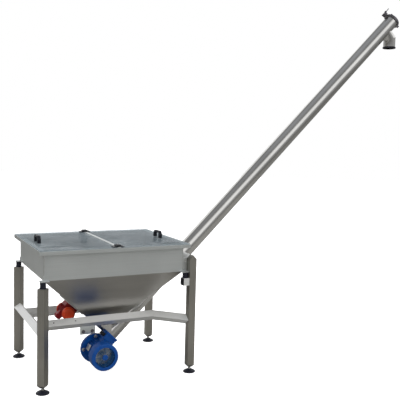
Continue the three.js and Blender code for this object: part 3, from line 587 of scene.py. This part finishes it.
@dataclass
class TubeFrame:
    """The four legs, the rails, the arms and the feet."""

    bench: Bench
    hole_radius: float = 4 * MM
    hole_places: tuple[float, float] = (147 * MM, 292 * MM)
    pad_radius: float = 42 * MM
    pad_height: float = 22 * MM
    stem_radius: float = 8 * MM
    stem_root: float = 7.1 * MM
    stem_top: float = 118 * MM
    thread_pitch: float = 1.75 * MM
    tube_half: float = 25 * MM
    rail_y: float = -178 * MM
    hanger_x: tuple[float, float] = (-213 * MM, -109 * MM)
    hanger_z: tuple[float, float] = (284 * MM, 352 * MM)

    def build(self) -> None:
        """Dresses the tubes and adds the small parts."""
        for end, hand in CORNERS:
            self.bench.skin(f"leg_{end}_{hand}", Finish.FRAME, 1.5 * MM)
            self.foot(end, hand)
        # The rails, cross tube and arms take the lighter rail steel, whose near-white colour is painted
        # light.
        for node in ("left_rail", "side_rail_front", "side_rail_back", "top_cross_tube"):
            self.bench.skin(node, Finish.RAIL_PAINTED_LIGHT, 1.5 * MM)
        for end in ENDS:
            self.bench.skin(f"buffer_arm_{end}", Finish.RAIL_PAINTED_LIGHT, 1.2 * MM)
            self.arm_plug(end)
        self.rail_holes()
        self.hanger()

    def foot(self, end: str, hand: str) -> None:
        """A levelling foot: a flared rubber-shod pad and a threaded stem with its lock nut."""
        node, body = f"foot_pad_{end}_{hand}", f"foot_{end}_{hand}"
        low, high = span(node)
        centre = [*((low + high) / 2)[:2], low[2]]
        r, h = self.pad_radius, self.pad_height
        flare = [(r, 0.28 * h), (0.86 * r, 0.48 * h), (0.5 * r, 0.8 * h), (0.36 * r, h)]
        pad = lathe(rounded([(0, 0), (r, 0), *flare, (0, h)], 2.5 * MM), 56).moved(place(centre))
        self.bench.make(f"{node}_turned", pad, Finish.RUBBER, body, [node])
        z0, z1, crest_radius = h + 0.4 * MM, self.stem_top, self.stem_radius
        heights = np.arange(z0 + 9 * MM, z1 - 1 * MM, self.thread_pitch / 2)
        thread = [(crest_radius if i % 2 else self.stem_root, z) for i, z in enumerate(heights)]
        collar = [(crest_radius, z0), (crest_radius, z0 + 8 * MM)]
        stem = lathe([(0, z0), *collar, *thread, (0, z1)], 20)
        nut = hexagon_bolt(20 * MM, 5.5 * MM).moved(place([0, 0, z0 + 1.5 * MM]))
        threaded = (stem + nut).moved(place([centre[0], centre[1], 0]))
        node = f"foot_stem_{end}_{hand}"
        self.bench.make(f"{node}_threaded", threaded, Finish.STEM, body, [node])

    def arm_plug(self, end: str) -> None:
        """The black push-in cap that closes an arm's free end."""
        low, high = span(f"buffer_arm_{end}")
        middle = (low + high) / 2
        at = place([low[0], middle[1], middle[2]], (-1, 0, 0), (0, 1, 0))
        cap = plate(49 * MM, 49 * MM, 3.2 * MM, 4 * MM, 1.2 * MM).moved(at)
        self.bench.make(f"arm_plug_{end}", cap, Finish.PLASTIC)

    def rail_face(self, x: float) -> np.ndarray:
        """A point in the middle of the front rail's upper outer face."""
        low, high = span("left_rail")
        middle = (low[2] + high[2]) / 2
        normal = np.array([0, -1, 1]) / math.sqrt(2)
        return np.array([x, self.rail_y, middle]) + normal * self.tube_half

    def rail_holes(self) -> None:
        """Two small holes of the front rail, each shown by a dark disc let into its face: painted shade for
        the hole's dark inside, in the black rubber finish.
        """
        left, r = span("leg_front_left")[0][0], self.hole_radius
        for index, offset in enumerate(self.hole_places):
            at = place(self.rail_face(left + offset), (0, -1, 1), (1, 0, 0))
            outline = [(0, -0.4 * MM), (r, -0.4 * MM), (r, 0.25 * MM), (0, 0.2 * MM)]
            disc = lathe(rounded(outline, 0.2 * MM, 2), 24)
            # The dark disc is painted shade where the hole's inside would be, not a rubber part.
            self.bench.make(f"rail_hole_{index}", disc.moved(at), Finish.RUBBER)

    def hanger(self) -> None:
        """The plate that hangs the gear motor below the front rail, with its two bolts."""
        x0, x1 = (x + SHIFT for x in self.hanger_x)
        (bottom, top), y = self.hanger_z, self.rail_y
        middle = [(x0 + x1) / 2, y, (top + bottom) / 2]
        sheet = plate(x1 - x0, top - bottom, 5 * MM, 4 * MM).moved(place(middle, (0, -1, 0), (1, 0, 0)))
        self.bench.make("hanger_plate", sheet, Finish.SHEET)
        for index, x in enumerate((x0 + 22 * MM, x1 - 20 * MM)):
            at = place([x, y - 5 * MM, bottom + 20 * MM], (0, -1, 0))
            bolt = hexagon_bolt(16 * MM, 8 * MM, 12 * MM).moved(at)
            self.bench.make(f"hanger_bolt_{index}", bolt, Finish.CLAMP)


@dataclass
class Hopper:
    """The box, the cone, the folded rim, the brackets on their buffers and the two clear lids."""

    bench: Bench
    sheet_thickness: float = 5 * MM

    def build(self) -> None:
        """Dresses the steel and makes the lids and their hinges."""
        self.bench.skin("hopper_box", Finish.SHEET, 1.2 * MM)
        # The cone takes the darker copy of the hopper steel, which is painted shade.
        self.bench.skin("hopper_cone", Finish.CONE_PAINTED_SHADE, 0.8 * MM)
        self.bench.skin("rim_frame", Finish.SHEET, 1.5 * MM)
        self.bench.skin("centre_bar", Finish.SHEET, 0.8 * MM)
        for end, hand in CORNERS:
            self.bench.skin(f"hopper_bracket_{end}_{hand}", Finish.SHEET, 0.8 * MM)
            self.buffer(end, hand)
        for end in ENDS:
            self.bench.skin(f"hinge_block_{end}", Finish.PLASTIC, 0.6 * MM)
        for hand in HANDS:
            self.lid(hand)
        self.box_corners()

    def buffer(self, end: str, hand: str) -> None:
        """A rubber buffer with straight ends and a slightly drawn-in waist."""
        low, high = span(f"buffer_{end}_{hand}")
        height = high[2] - low[2]
        r = (high[0] - low[0]) / 2
        t = np.linspace(0, 1, 13)
        waist = [(r - 1.6 * MM * math.sin(math.pi * s), 2 * MM + (height - 4 * MM) * s) for s in t]
        outline = [(0, 0), (r, 0), (r, 2 * MM), *waist, (r, height - 2 * MM), (r, height), (0, height)]
        centre = [*((low + high) / 2)[:2], low[2]]
        node = f"buffer_{end}_{hand}"
        moulded = lathe(outline, 40).moved(place(centre))
        self.bench.make(f"{node}_moulded", moulded, Finish.RUBBER, replaces=[node])

    def lid(self, hand: str) -> None:
        """A clear panel with its handle and its two black hinge leaves."""
        side = HANDS[hand]
        low, high = span(f"lid_{hand}")
        body = f"lid_{hand}"
        bar_low, bar_high = span("centre_bar")
        edge = bar_low[0] - 1 * MM if side < 0 else bar_high[0] + 1 * MM
        outer = low[0] if side < 0 else high[0]
        middle = [(edge + outer) / 2, (low[1] + high[1]) / 2, low[2]]
        panel = plate(abs(edge - outer), high[1] - low[1], self.sheet_thickness, 5 * MM, 0.8 * MM)
        self.bench.make(f"lid_{hand}_panel", panel.moved(place(middle)), Finish.CLEAR, body, [f"lid_{hand}"])
        self.bench.skin(f"lid_handle_{hand}", Finish.PLASTIC, 2.5 * MM)
        top = low[2] + self.sheet_thickness
        pin = JOINTS[f"lid_{hand}_hinge"]["pos_m"]
        for end in ENDS:
            block_low, block_high = span(f"hinge_block_{end}")
            y = (block_low[1] + block_high[1]) / 2
            leaf = plate(20 * MM, 48 * MM, 4 * MM, 4 * MM, 1 * MM)
            leaf = leaf.moved(place([pin[0] + side * 17 * MM, y, top]))
            knuckle = lathe(rounded(mm((0, -12), (6, -12), (6, 12), (0, 12)), 0.8 * MM, 2), 24)
            knuckle = knuckle.moved(place([pin[0], y, pin[2]], (0, 1, 0)))
            rib = plate(9 * MM, 23 * MM, 5 * MM, 1.5 * MM)
            rib = rib.moved(place([pin[0] + side * 6 * MM, y, pin[2] - 5.4 * MM]))
            self.bench.make(f"hinge_leaf_{hand}_{end}", leaf + knuckle + rib, Finish.PLASTIC, body)
            for index, offset in enumerate((-14 * MM, 14 * MM)):
                screw = lathe(rounded(mm((0, 0), (4.6, 0), (3.6, 1.6), (0, 2)), 0.6 * MM, 2), 20)
                at = place([pin[0] + side * 19 * MM, y + offset, top + 4 * MM])
                self.bench.make(f"hinge_screw_{hand}_{end}_{index}", screw.moved(at), Finish.TURNED, body)

    def box_corners(self) -> None:
        """The weld bead down each upright corner of the box."""
        low, high = span("hopper_box")
        for end, way in ENDS.items():
            for hand, side in HANDS.items():
                x = low[0] if side < 0 else high[0]
                y = low[1] if way < 0 else high[1]
                z = np.linspace(low[2] + 2 * MM, high[2] - 2 * MM, 24)
                path = np.c_[np.full(24, x - side * 0.6 * MM), np.full(24, y - way * 0.6 * MM), z]
                self.bench.make(f"corner_weld_{end}_{hand}", rod(path, 1.6 * MM, 10), Finish.TURNED)


@dataclass
class Conveyor:
    """The pipe, its spout, saddle, screw, end cover and clamp."""

    bench: Bench
    radius: float = 57.15 * MM
    wall: float = 2.6 * MM
    start: float = 52 * MM
    end: float = 3620 * MM

    def build(self) -> None:
        """Makes the round skins and dresses the rest."""
        self.bench.skin("auger_tube", Finish.PIPE, 0.0)
        self.pipe()
        self.bench.skin("spout", Finish.PIPE, 0.0)
        self.bench.skin("tube_saddle", Finish.SHEET, 0.5 * MM)
        self.lip()
        for node in ("end_cover", "clamp_half_upper", "clamp_half_lower", "clamp_wing_nut"):
            self.bench.skin(node, Finish.CLAMP, 0.8 * MM)
        for node in ("auger_shaft", "auger_flight", "clamp_bolt"):
            self.bench.skin(node, Finish.TURNED, 0.0)
        self.bench.skin("top_bush", Finish.BRONZE, 0.0)

    def pipe(self) -> None:
        """The pipe's round outer skin: a lathe about the screw's axis, laid just over the CAD facets."""
        skin = 0.25 * MM
        sections = np.linspace(self.start + 150 * MM, self.end - 9 * MM, 40)
        outer = [(self.radius + skin, s) for s in sections]
        profile = [(self.radius - self.wall, sections[0]), *outer, (self.radius - self.wall, sections[-1])]
        self.bench.make("conveyor_pipe", lathe(profile, 96, ring=True).moved(CONVEYOR), Finish.PIPE)

    def lip(self) -> None:
        """The black rubber ring pushed over the spout's mouth, with its lower edge turned in."""
        low, high = span("spout_lip")
        centre = [*((low + high) / 2)[:2], low[2]]
        outer, inner, height = (high[0] - low[0]) / 2, 46 * MM, high[2] - low[2]
        bore, chamfer = 49.4 * MM, 1.5 * MM
        outside = [(inner + 2 * MM, 0), (outer - chamfer, 0), (outer, 1.6 * MM), (outer, height - chamfer)]
        inside = [(outer - chamfer, height), (bore, height), (bore, 3.2 * MM), (inner, 2.8 * MM)]
        moulded = lathe([(inner, 0.4 * MM), *outside, *inside], 72, ring=True).moved(place(centre))
        self.bench.make("spout_lip_moulded", moulded, Finish.RUBBER, replaces=["spout_lip"])


@dataclass
class Drive:
    """The worm gearbox and the blue motor with its fan cover and terminal box."""

    bench: Bench
    vent: float = 66 * MM
    cup_wall: float = 2.5 * MM
    baffle_bore: float = 45 * MM
    bolt_circle: float = 83 * MM

    def build(self) -> None:
        """Dresses the castings and adds grille, bolts, glands and the blank nameplate."""
        for node, bevel in (("gearbox", 1.5), ("motor_body", 0.8), ("terminal_box", 2.5)):
            self.bench.skin(node, Finish.BLUE, bevel * MM)
        for node in ("worm", "motor_rotor"):
            self.bench.skin(node, Finish.TURNED, 0.0)
        self.bench.skin("worm_wheel", Finish.BRONZE, 0.0)
        self.fan_cover()
        self.flange_bolts()
        self.nameplate()
        self.terminal_trim()

    def fan_cover(self) -> None:
        """The pressed cover: a cup, wire rings, spokes and a hub, and a baffle at the motor's rear end."""
        low, high = span("fan_cover")
        r, depth = (high[0] - low[0]) / 2, high[1] - low[1]
        outside = [(r - 1.5 * MM, depth), (r, depth), (r, 0), (self.vent, 0)]
        inside = [(self.vent, 2 * MM), (r - self.cup_wall, 2.6 * MM), (r - self.cup_wall, depth)]
        cup = rounded(outside + inside, 7 * MM, 6)
        at = place([MOTOR[0], low[1], MOTOR[2]], (0, 1, 0), (1, 0, 0))
        self.bench.make("fan_cup", lathe(cup, 96, ring=True).moved(at), Finish.BLUE, replaces=["fan_cover"])
        wires = ring(26 * MM, 1.5 * MM, 2.2 * MM)
        for radius in (34, 42, 50, 58):
            wires = wires + ring(radius * MM, 1.5 * MM, 2.2 * MM, 64)
        for index in range(8):
            turn = index * math.pi / 4
            way = np.array([math.cos(turn), math.sin(turn), 0])
            steps = np.linspace(18 * MM, 68 * MM, 6)[:, None]
            wires = wires + rod(steps * way + np.array([0, 0, 3.4 * MM]), 1.7 * MM, 8)
        self.bench.make("fan_grille", wires.moved(at), Finish.WIRE)
        bore, rim = self.baffle_bore, r - 3 * MM
        rear, front = depth - 9 * MM, depth - 7 * MM
        baffle = lathe([(bore, rear), (rim, rear), (rim, front), (bore, front)], 64, ring=True)
        self.bench.make("fan_baffle", baffle.moved(at), Finish.BLUE)
        hub = lathe(rounded(mm((0, 0.4), (19, 0.4), (20, 4), (0, 4)), 1.2 * MM, 3), 40)
        self.bench.make("fan_hub", hub.moved(at), Finish.BLUE)

    def flange_bolts(self) -> None:
        """Four hexagon bolts round the motor's flange."""
        face, r = span("motor_body")[1][1] - 12 * MM, self.bolt_circle
        for index in range(4):
            turn = math.radians(45 + 90 * index) + PITCH
            at = [MOTOR[0] + r * math.cos(turn), face, MOTOR[2] + r * math.sin(turn)]
            bolt = hexagon_bolt(16 * MM, 7 * MM, 13 * MM).moved(place(at, (0, -1, 0)))
            self.bench.make(f"flange_bolt_{index}", bolt, Finish.TURNED)

    def nameplate(self) -> None:
        """The blank plate on the motor's side."""
        normal = -CONVEYOR[:3, 0] * math.cos(0.35) - CONVEYOR[:3, 2] * math.sin(0.35)
        centre = MOTOR + normal * 71.2 * MM + np.array([0, -150 * MM, 0])
        sheet = plate(62 * MM, 40 * MM, 1.2 * MM, 2 * MM, 0.3 * MM).moved(place(centre, normal, (0, 1, 0)))
        self.bench.make("blank_nameplate", sheet, Finish.PLATE)

    def terminal_trim(self) -> None:
        """Four lid screws and the two black cable glands of the terminal box."""
        x_axis, z_axis = CONVEYOR[:3, 0], CONVEYOR[:3, 2]
        lid = MOTOR + z_axis * 138 * MM - x_axis * 3 * MM
        for index, (across, along) in enumerate(((-38, -183), (38, -183), (-38, -111), (38, -111))):
            at = lid + x_axis * across * MM + np.array([0, along * MM, 0])
            screw = lathe(rounded(mm((0, -0.5), (4.4, -0.5), (3.8, 1.8), (0, 2.2)), 0.6 * MM, 2), 20)
            self.bench.make(f"terminal_screw_{index}", screw.moved(place(at, z_axis)), Finish.TURNED)
        for index, along in enumerate((-128, -162)):
            at = MOTOR - x_axis * 46 * MM + z_axis * 104 * MM + np.array([0, along * MM, 0])
            body = mm((0, 0), (13, 0), (13, 9), (10, 11), (10, 17))
            mouth = mm((8, 21), (4, 21.5), (3.4, 17), (0, 17))
            gland = lathe(rounded(body + mouth, 1 * MM, 3), 32).moved(place(at, -x_axis))
            self.bench.make(f"cable_gland_{index}", gland, Finish.PLASTIC)


@dataclass
class Vibrator:
    """The red vibrator motor on its strip below the hopper's slope."""

    bench: Bench
    radius: float = 42 * MM

    def build(self) -> None:
        """Dresses the body, its mount and its rotor, and makes the ribs and the caps."""
        self.bench.skin("vibrator_body", Finish.RED, 1.2 * MM)
        self.bench.skin("vibrator_mount", Finish.SHEET, 0.8 * MM)
        self.bench.skin("vibrator_rotor", Finish.TURNED, 0.0)
        for index, y in enumerate(np.linspace(-50, 50, 9)):
            ribs = ring(self.radius + 1.2 * MM, 1.6 * MM, y * MM, 56, 8)
            self.bench.make(f"vibrator_rib_{index}", ribs.moved(place(VIBRATOR, (0, 1, 0))), Finish.RED)
        for end, way in ENDS.items():
            self.cap(end, way)

    def cap(self, end: str, way: int) -> None:
        """A pressed cap over the rotor's end: a shallow dome of sheet with a straight wall."""
        low, high = span(f"vibrator_cap_{end}")
        face = low[1] if way < 0 else high[1]
        outside = mm((0, 0), (33, 0), (44.6, 11), (44.6, 32))
        inside = mm((42.6, 32), (42.6, 12), (32, 2.4), (0, 2.4))
        dome = lathe(rounded(outside + inside, 5 * MM, 5), 64)
        at = place([VIBRATOR[0], face, VIBRATOR[2]], (0, -way, 0), (1, 0, 0))
        node = f"vibrator_cap_{end}"
        self.bench.make(f"{node}_pressed", dome.moved(at), Finish.ORANGE, replaces=[node])


# ---------------------------------------------------------------- studio


@dataclass(frozen=True)
class Studio:
    """The pale floor, the soft lights and the camera."""

    eye: tuple[float, float, float] = (-2.404, -4.208, 1.549)
    yaw: float = 26.86
    pitch: float = -5.12
    roll: float = 1.48
    lens: float = 55.9
    mirrored_room: tuple[tuple[float, float], ...] = (
        (0.3, 0.14), (0.48, 0.24), (0.58, 0.32), (0.66, 1.0), (0.80, 1.0), (0.88, 0.18),
    )

    def build(self) -> None:
        """Sets up everything that isn't part of the machine."""
        self.camera()
        self.floor()
        self.lights()
        self.sky()

    def camera(self) -> None:
        """Stands the camera at its place, turned by yaw, pitch and roll."""
        lens = bpy.data.cameras.new("camera")
        lens.lens, lens.sensor_width, lens.clip_end = self.lens, 36.0, 100
        eye = bpy.data.objects.new("camera", lens)
        bpy.context.scene.collection.objects.link(eye)
        yaw, pitch, roll = (math.radians(a) for a in (self.yaw, self.pitch, self.roll))
        aim = Matrix.Rotation(-yaw, 4, "Z") @ Matrix.Rotation(math.pi / 2 + pitch, 4, "X")
        eye.matrix_world = Matrix.Translation(self.eye) @ aim @ Matrix.Rotation(roll, 4, "Z")
        bpy.context.scene.camera = eye

    def floor(self) -> None:
        """A matt disc below the feet: pale to the camera, dull grey in what the steel mirrors."""
        disc = lathe([(0, 0), (30, 0), (30, -0.01), (0, -0.01)], 64).moved(place((0, 0, -0.0005)))
        mesh = bpy.data.meshes.new("floor")
        mesh.from_pydata(disc.points.tolist(), [], disc.faces)
        sheet = Sheet("pale_floor")
        tone = sheet.noise(sheet.place, 1.5, 2)
        tint = sheet.blend(tone, (0.93, 0.93, 0.93), (0.96, 0.96, 0.96))
        pale = sheet.node("ShaderNodeBsdfDiffuse", {}, {"Color": tint})
        glow = sheet.node("ShaderNodeEmission", {}, {"Color": (1, 1, 1, 1), "Strength": 0.62})
        lit = sheet.node("ShaderNodeAddShader", {}, {0: pale, 1: glow})
        dull = sheet.node("ShaderNodeBsdfDiffuse", {}, {"Color": (0.31, 0.305, 0.29, 1)})
        seen = sheet.node("ShaderNodeLightPath", {}, {}, "Is Camera Ray")
        shown = sheet.node("ShaderNodeMixShader", {}, {0: seen, 1: dull, 2: lit})
        sheet.tree.links.new(shown.socket, sheet.output.inputs["Surface"])
        mesh.materials.append(sheet.material)
        floor = bpy.data.objects.new("floor", mesh)
        bpy.context.scene.collection.objects.link(floor)

    def lights(self) -> None:
        """Large soft lamps: one overhead, one to the left of the camera and a weaker one to its right."""
        for name, at, target, size, power in (
            ("overhead", (-0.6, 0.2, 5.2), (-0.6, 0, 0), 3.6, 210),
            ("left", (-5.5, -3.5, 3.4), (-0.9, 0, 0.6), 1.6, 60),
            ("right", (2.6, -5.0, 3.0), (-0.6, 0, 0.8), 1.6, 50),
        ):
            lamp = bpy.data.lights.new(name, "AREA")
            lamp.size, lamp.energy = size, power
            body = bpy.data.objects.new(name, lamp)
            body.location = at
            body.visible_glossy = False
            body.rotation_euler = (Vector(target) - Vector(at)).to_track_quat("-Z", "Y").to_euler()
            bpy.context.scene.collection.objects.link(body)

    def sky(self) -> None:
        """White to the camera; what the steel mirrors is dim but for a bright band above the horizon."""
        world = bpy.data.worlds.new("room")
        world.use_nodes = True
        nodes, links = world.node_tree.nodes, world.node_tree.links
        nodes.clear()
        output = nodes.new("ShaderNodeOutputWorld")
        place_in_sky = nodes.new("ShaderNodeTexCoord")
        split = nodes.new("ShaderNodeSeparateXYZ")
        ramp = nodes.new("ShaderNodeValToRGB")
        for position, grey in self.mirrored_room:
            element = ramp.color_ramp.elements.new(position)
            element.color = (grey, grey, grey, 1)
        for index in (len(ramp.color_ramp.elements) - 1, 0):
            ramp.color_ramp.elements[index].color = (0.35, 0.36, 0.38, 1) if index else (0.1, 0.1, 0.1, 1)
        shift = nodes.new("ShaderNodeMath")
        shift.operation = "MULTIPLY_ADD"
        shift.inputs[1].default_value, shift.inputs[2].default_value = 0.5, 0.5
        lit, seen = (nodes.new("ShaderNodeBackground") for _ in range(2))
        pick, path = nodes.new("ShaderNodeMixShader"), nodes.new("ShaderNodeLightPath")
        seen.inputs["Color"].default_value = (1, 1, 1, 1)
        lit.inputs["Strength"].default_value = 1.25
        links.new(place_in_sky.outputs["Generated"], split.inputs[0])
        links.new(split.outputs["Z"], shift.inputs[0])
        links.new(shift.outputs[0], ramp.inputs[0])
        links.new(ramp.outputs[0], lit.inputs["Color"])
        links.new(path.outputs["Is Camera Ray"], pick.inputs[0])
        links.new(lit.outputs[0], pick.inputs[1])
        links.new(seen.outputs[0], pick.inputs[2])
        links.new(pick.outputs[0], output.inputs["Surface"])
        bpy.context.scene.world = world
        bpy.context.scene.view_settings.view_transform = "Standard"


# ---------------------------------------------------------------- places

# The conveyor's axis and slope, and its frame: local Z up the pipe, local X square to it and downwards.
_AXIS = np.array(JOINTS["auger_spin"]["axis"], float)
PITCH = math.atan2(_AXIS[2], _AXIS[0])
CONVEYOR = place(JOINTS["auger_spin"]["pos_m"], _AXIS, (math.sin(PITCH), 0, -math.cos(PITCH)))
MOTOR = np.array(JOINTS["motor_spin"]["pos_m"], float) * np.array([1, 0, 1])
VIBRATOR = np.array(JOINTS["vibrator_spin"]["pos_m"], float)
# From x counted from the frame's own middle to x in the part's frame.
SHIFT = float((span("leg_front_left")[0][0] + span("leg_front_left")[1][0]) / 2 + 505 * MM)


def main() -> None:
    """Builds the studio and the machine's parts in order."""
    logging.basicConfig(level=logging.INFO, format="%(name)s: %(message)s")
    Studio().build()
    bench = Bench()
    for part in (TubeFrame(bench), Hopper(bench), Conveyor(bench), Drive(bench), Vibrator(bench)):
        part.build()
        LOG.info("%s is done", type(part).__name__)


if __name__ == "__main__":
    main()
